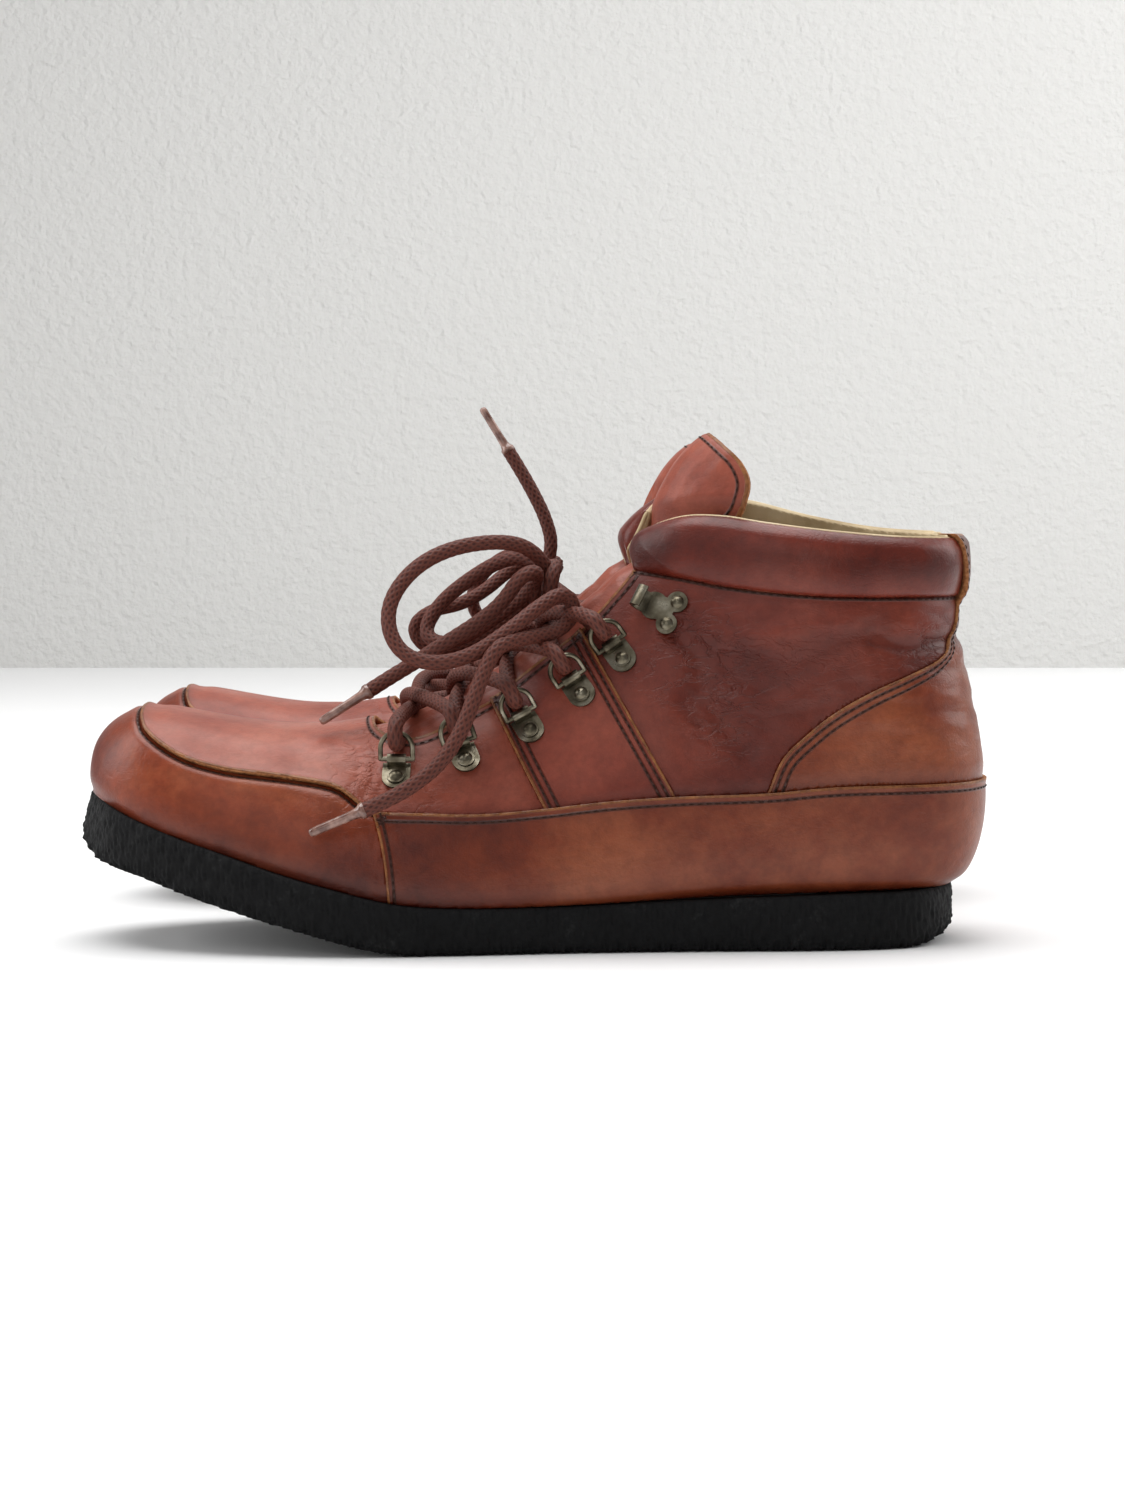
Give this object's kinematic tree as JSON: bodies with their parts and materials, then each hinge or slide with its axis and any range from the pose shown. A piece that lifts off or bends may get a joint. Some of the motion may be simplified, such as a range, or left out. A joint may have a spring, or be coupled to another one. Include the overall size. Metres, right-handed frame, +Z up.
{
  "type": "pair of lace-up ankle boots",
  "caption": "Pair of moc-toe leather ankle boots with crepe wedge soles, padded collars, D-ring lacing and speed hooks.",
  "frame": {"origin": "middle of the pair on the ground: midway between toe tips and heel backs, midway between the two boots", "axes": "+X towards the heels, toes to -X; the left boot is at -Y and the right boot at +Y; +Z up"},
  "size_m": [0.3018, 0.2332, 0.181],
  "materials": {
    "upper_leather": "waxed, creased",
    "burnished_leather": "burnished, satin",
    "collar_leather": "satin",
    "tongue_leather": "soft satin",
    "lining_leather": "matt",
    "fibreboard": "matt",
    "foam": "matt",
    "crepe_rubber": "matt, rough",
    "antique_brass": "antique, satin",
    "lace_cotton": "waxed weave",
    "aglet_plastic": "gloss"
  },
  "bodies": {
    "left_boot": {"left_outsole": "crepe_rubber", "left_insole": "lining_leather", "left_lining": "lining_leather", "left_stiffeners": "fibreboard", "left_toe_wall": "burnished_leather", "left_vamp": "upper_leather", "left_mid_quarters": "upper_leather", "left_ankle_quarters": "upper_leather", "left_heel_counter": "burnished_leather", "left_foxing_band": "burnished_leather", "left_collar": "collar_leather", "left_collar_padding": "foam", "left_tongue": "tongue_leather", "left_ring_clips": "antique_brass", "left_hooks": "antique_brass", "left_rivets": "antique_brass", "left_lacing": "lace_cotton", "left_lace_end_a": "lace_cotton", "left_lace_end_b": "lace_cotton", "left_aglets": "aglet_plastic"},
    "left_ring_outer_1": {"left_ring_outer_1": "antique_brass"},
    "left_ring_outer_2": {"left_ring_outer_2": "antique_brass"},
    "left_ring_outer_3": {"left_ring_outer_3": "antique_brass"},
    "left_ring_outer_4": {"left_ring_outer_4": "antique_brass"},
    "left_ring_outer_5": {"left_ring_outer_5": "antique_brass"},
    "left_ring_inner_1": {"left_ring_inner_1": "antique_brass"},
    "left_ring_inner_2": {"left_ring_inner_2": "antique_brass"},
    "left_ring_inner_3": {"left_ring_inner_3": "antique_brass"},
    "left_ring_inner_4": {"left_ring_inner_4": "antique_brass"},
    "left_ring_inner_5": {"left_ring_inner_5": "antique_brass"},
    "right_boot": {"right_outsole": "crepe_rubber", "right_insole": "lining_leather", "right_lining": "lining_leather", "right_stiffeners": "fibreboard", "right_toe_wall": "burnished_leather", "right_vamp": "upper_leather", "right_mid_quarters": "upper_leather", "right_ankle_quarters": "upper_leather", "right_heel_counter": "burnished_leather", "right_foxing_band": "burnished_leather", "right_collar": "collar_leather", "right_collar_padding": "foam", "right_tongue": "tongue_leather", "right_ring_clips": "antique_brass", "right_hooks": "antique_brass", "right_rivets": "antique_brass", "right_lacing": "lace_cotton", "right_lace_end_a": "lace_cotton", "right_lace_end_b": "lace_cotton", "right_aglets": "aglet_plastic"},
    "right_ring_outer_1": {"right_ring_outer_1": "antique_brass"},
    "right_ring_outer_2": {"right_ring_outer_2": "antique_brass"},
    "right_ring_outer_3": {"right_ring_outer_3": "antique_brass"},
    "right_ring_outer_4": {"right_ring_outer_4": "antique_brass"},
    "right_ring_outer_5": {"right_ring_outer_5": "antique_brass"},
    "right_ring_inner_1": {"right_ring_inner_1": "antique_brass"},
    "right_ring_inner_2": {"right_ring_inner_2": "antique_brass"},
    "right_ring_inner_3": {"right_ring_inner_3": "antique_brass"},
    "right_ring_inner_4": {"right_ring_inner_4": "antique_brass"},
    "right_ring_inner_5": {"right_ring_inner_5": "antique_brass"}
  },
  "joints": [
    {"name": "pair_parting", "type": "slide", "parent": "left_boot", "child": "right_boot", "axis": [0, 1, 0], "range_m": [0, 0.2]},
    {"name": "left_ring_outer_1_swing", "type": "hinge", "parent": "left_boot", "child": "left_ring_outer_1", "pos_m": [-0.04294, -0.09239, 0.06186], "axis": [0.9988, -0.0499, -0.0027], "range_deg": [-8, 12], "deforming": ["left_lacing"]},
    {"name": "left_ring_outer_2_swing", "type": "hinge", "parent": "left_boot", "child": "left_ring_outer_2", "pos_m": [-0.02271, -0.0898, 0.06705], "axis": [0.9366, 0.1371, 0.3225], "range_deg": [-8, 12], "deforming": ["left_lacing"]},
    {"name": "left_ring_outer_3_swing", "type": "hinge", "parent": "left_boot", "child": "left_ring_outer_3", "pos_m": [-0.00291, -0.08657, 0.07602], "axis": [0.8689, 0.1266, 0.4785], "range_deg": [-8, 12], "deforming": ["left_lacing"]},
    {"name": "left_ring_outer_4_swing", "type": "hinge", "parent": "left_boot", "child": "left_ring_outer_4", "pos_m": [0.0133, -0.08424, 0.08742], "axis": [0.8314, 0.0587, 0.5526], "range_deg": [-8, 12], "deforming": ["left_lacing"]},
    {"name": "left_ring_outer_5_swing", "type": "hinge", "parent": "left_boot", "child": "left_ring_outer_5", "pos_m": [0.02643, -0.08219, 0.09858], "axis": [0.8071, 0.0223, 0.59], "range_deg": [-8, 12], "deforming": ["left_lacing"]},
    {"name": "left_ring_inner_1_swing", "type": "hinge", "parent": "left_boot", "child": "left_ring_inner_1", "pos_m": [-0.04288, -0.02503, 0.06175], "axis": [-0.9992, -0.0331, 0.0218], "range_deg": [-8, 12], "deforming": ["left_lacing"]},
    {"name": "left_ring_inner_2_swing", "type": "hinge", "parent": "left_boot", "child": "left_ring_inner_2", "pos_m": [-0.02266, -0.02779, 0.06693], "axis": [-0.9326, 0.1396, -0.3329], "range_deg": [-8, 12], "deforming": ["left_lacing"]},
    {"name": "left_ring_inner_3_swing", "type": "hinge", "parent": "left_boot", "child": "left_ring_inner_3", "pos_m": [-0.00288, -0.03067, 0.07589], "axis": [-0.8618, 0.113, -0.4945], "range_deg": [-8, 12], "deforming": ["left_lacing"]},
    {"name": "left_ring_inner_4_swing", "type": "hinge", "parent": "left_boot", "child": "left_ring_inner_4", "pos_m": [0.01328, -0.03231, 0.08728], "axis": [-0.821, 0.027, -0.5703], "range_deg": [-8, 12], "deforming": ["left_lacing"]},
    {"name": "left_ring_inner_5_swing", "type": "hinge", "parent": "left_boot", "child": "left_ring_inner_5", "pos_m": [0.02636, -0.03333, 0.09843], "axis": [-0.7927, -0.0232, -0.6092], "range_deg": [-8, 12], "deforming": ["left_lacing"]},
    {"name": "right_ring_outer_1_swing", "type": "hinge", "parent": "right_boot", "child": "right_ring_outer_1", "pos_m": [-0.04294, 0.09239, 0.06186], "axis": [-0.9988, -0.0499, 0.0027], "range_deg": [-8, 12], "deforming": ["right_lacing"]},
    {"name": "right_ring_outer_2_swing", "type": "hinge", "parent": "right_boot", "child": "right_ring_outer_2", "pos_m": [-0.02271, 0.0898, 0.06705], "axis": [-0.9366, 0.1371, -0.3225], "range_deg": [-8, 12], "deforming": ["right_lacing"]},
    {"name": "right_ring_outer_3_swing", "type": "hinge", "parent": "right_boot", "child": "right_ring_outer_3", "pos_m": [-0.00291, 0.08657, 0.07602], "axis": [-0.8689, 0.1266, -0.4785], "range_deg": [-8, 12], "deforming": ["right_lacing"]},
    {"name": "right_ring_outer_4_swing", "type": "hinge", "parent": "right_boot", "child": "right_ring_outer_4", "pos_m": [0.0133, 0.08424, 0.08742], "axis": [-0.8314, 0.0587, -0.5526], "range_deg": [-8, 12], "deforming": ["right_lacing"]},
    {"name": "right_ring_outer_5_swing", "type": "hinge", "parent": "right_boot", "child": "right_ring_outer_5", "pos_m": [0.02643, 0.08219, 0.09858], "axis": [-0.8071, 0.0223, -0.59], "range_deg": [-8, 12], "deforming": ["right_lacing"]},
    {"name": "right_ring_inner_1_swing", "type": "hinge", "parent": "right_boot", "child": "right_ring_inner_1", "pos_m": [-0.04288, 0.02503, 0.06175], "axis": [0.9992, -0.0331, -0.0218], "range_deg": [-8, 12], "deforming": ["right_lacing"]},
    {"name": "right_ring_inner_2_swing", "type": "hinge", "parent": "right_boot", "child": "right_ring_inner_2", "pos_m": [-0.02266, 0.02779, 0.06693], "axis": [0.9326, 0.1396, 0.3329], "range_deg": [-8, 12], "deforming": ["right_lacing"]},
    {"name": "right_ring_inner_3_swing", "type": "hinge", "parent": "right_boot", "child": "right_ring_inner_3", "pos_m": [-0.00288, 0.03067, 0.07589], "axis": [0.8618, 0.113, 0.4945], "range_deg": [-8, 12], "deforming": ["right_lacing"]},
    {"name": "right_ring_inner_4_swing", "type": "hinge", "parent": "right_boot", "child": "right_ring_inner_4", "pos_m": [0.01328, 0.03231, 0.08728], "axis": [0.821, 0.027, 0.5703], "range_deg": [-8, 12], "deforming": ["right_lacing"]},
    {"name": "right_ring_inner_5_swing", "type": "hinge", "parent": "right_boot", "child": "right_ring_inner_5", "pos_m": [0.02636, 0.03333, 0.09843], "axis": [0.7927, -0.0232, 0.6092], "range_deg": [-8, 12], "deforming": ["right_lacing"]}
  ]
}
